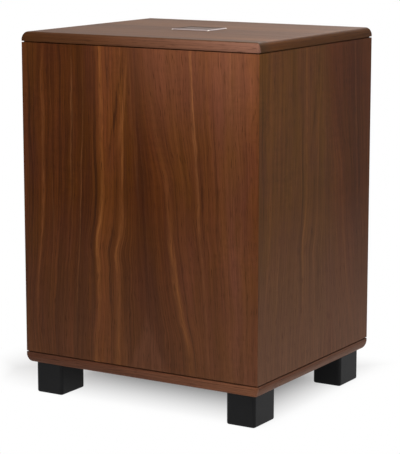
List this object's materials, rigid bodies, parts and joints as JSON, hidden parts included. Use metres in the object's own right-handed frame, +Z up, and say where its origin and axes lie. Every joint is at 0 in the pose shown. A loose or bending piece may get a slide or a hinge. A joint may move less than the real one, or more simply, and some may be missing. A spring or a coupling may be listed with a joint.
{
  "type": "powered subwoofer",
  "caption": "Closed walnut-veneered box on black block feet, with a down-firing bass driver below and a plate amplifier at the back.",
  "frame": {"origin": "on the floor, in the middle of the overall footprint with the rear controls counted in", "axes": "+Z up, -Y to the front, +X to the right as seen from the front"},
  "size_m": [0.35, 0.316, 0.4776],
  "materials": {
    "walnut": "open-pore satin lacquer over walnut veneer",
    "fibreboard": "raw medium-density fibreboard",
    "fibre_wadding": "loose polyester wadding",
    "black_foot": "satin black moulding",
    "zinc_screw": "zinc plated",
    "badge_metal": "bright bevel, brushed field",
    "basket_paint": "cast, fine black texture coat",
    "gasket_foam": "closed-cell foam",
    "surround_rubber": "soft satin rubber",
    "spider_cloth": "resin-treated woven cotton",
    "black_screw": "black oxide",
    "motor_steel": "black passivated steel",
    "ferrite": "sintered ferrite",
    "terminal_plastic": "moulded",
    "braided_copper": "braided",
    "cone_fibre": "pressed fibre, matt",
    "cap_fibre": "pressed fibre, satin",
    "former_film": "amber film",
    "coil_copper": "enamelled wire",
    "plate_paint": "fine black texture coat",
    "housing_metal": "galvanised sheet",
    "sink_metal": "black anodised extrusion",
    "board_green": "solder mask",
    "transformer_tape": "polyester tape over windings",
    "capacitor_sleeve": "shrink sleeve",
    "control_metal": "nickel plated",
    "bright_metal": "polished",
    "knob_plastic": "satin moulding",
    "switch_plastic": "fine spark texture",
    "fuse_glass": "clear tube",
    "phono_gold": "gold flash",
    "phono_white": "moulded",
    "led_lens": "clear tinted dome",
    "lead_sheath": "flexible sheath"
  },
  "bodies": {
    "cabinet": {"front_panel": "walnut", "back_panel": "walnut", "left_side_panel": "walnut", "right_side_panel": "walnut", "top_panel": "walnut", "bottom_panel": "walnut", "sub_baffle": "fibreboard", "window_brace": "fibreboard", "wadding": "fibre_wadding", "foot_front_left": "black_foot", "foot_front_right": "black_foot", "foot_back_left": "black_foot", "foot_back_right": "black_foot", "foot_screws": "zinc_screw", "badge_plate": "badge_metal", "driver_frame": "basket_paint", "driver_gasket": "gasket_foam", "amp_gasket": "gasket_foam", "surround": "surround_rubber", "trim_ring": "surround_rubber", "spider": "spider_cloth", "driver_screws": "black_screw", "amp_screws": "black_screw", "motor_top_plate": "motor_steel", "pole_yoke": "motor_steel", "magnet": "ferrite", "terminal_block": "terminal_plastic", "tinsel_leads": "braided_copper", "amp_plate": "plate_paint", "amp_housing": "housing_metal", "heat_sink": "sink_metal", "main_board": "board_green", "input_board": "board_green", "power_transformer": "transformer_tape", "filter_capacitors": "capacitor_sleeve", "pot_bodies": "control_metal", "toggle_bodies": "control_metal", "panel_nuts": "bright_metal", "mains_pins": "bright_metal", "power_switch_body": "switch_plastic", "mains_inlet": "switch_plastic", "phono_shells": "phono_gold", "phono_insulators": "phono_white", "status_led": "led_lens", "driver_lead": "lead_sheath"},
    "cone_assembly": {"cone": "cone_fibre", "dust_cap": "cap_fibre", "coil_former": "former_film", "voice_coil": "coil_copper"},
    "level_control": {"level_knob": "knob_plastic", "level_shaft": "control_metal"},
    "crossover_control": {"crossover_knob": "knob_plastic", "crossover_shaft": "control_metal"},
    "lfe_control": {"lfe_knob": "knob_plastic", "lfe_shaft": "control_metal"},
    "phase_switch": {"phase_lever": "bright_metal"},
    "mode_switch": {"mode_lever": "bright_metal"},
    "power_switch": {"power_rocker": "switch_plastic"},
    "fuse_holder": {"fuse_drawer": "switch_plastic", "fuse": "fuse_glass"}
  },
  "joints": [
    {"name": "cone_travel", "type": "slide", "parent": "cabinet", "child": "cone_assembly", "axis": [0, 0, 1], "range_m": [-0.01, 0.01], "stiffness_N_per_m": 2800, "deforming": ["surround", "spider", "tinsel_leads"]},
    {"name": "level_turn", "type": "hinge", "parent": "cabinet", "child": "level_control", "pos_m": [0.062, 0.142, 0.35675], "axis": [0, 1, 0], "range_deg": [-150, 150]},
    {"name": "crossover_turn", "type": "hinge", "parent": "cabinet", "child": "crossover_control", "pos_m": [0, 0.142, 0.35675], "axis": [0, 1, 0], "range_deg": [-150, 150]},
    {"name": "lfe_turn", "type": "hinge", "parent": "cabinet", "child": "lfe_control", "pos_m": [-0.062, 0.142, 0.35675], "axis": [0, 1, 0], "range_deg": [-150, 150]},
    {"name": "phase_throw", "type": "hinge", "parent": "cabinet", "child": "phase_switch", "pos_m": [0.062, 0.144, 0.30975], "axis": [1, 0, 0], "range_deg": [0, 25]},
    {"name": "mode_throw", "type": "hinge", "parent": "cabinet", "child": "mode_switch", "pos_m": [0.022, 0.144, 0.30975], "axis": [1, 0, 0], "range_deg": [-12.5, 12.5]},
    {"name": "power_throw", "type": "hinge", "parent": "cabinet", "child": "power_switch", "pos_m": [0.058, 0.14, 0.21975], "axis": [-1, 0, 0], "range_deg": [0, 20]},
    {"name": "fuse_pull", "type": "slide", "parent": "cabinet", "child": "fuse_holder", "axis": [0, 1, 0], "range_m": [0, 0.018]}
  ]
}
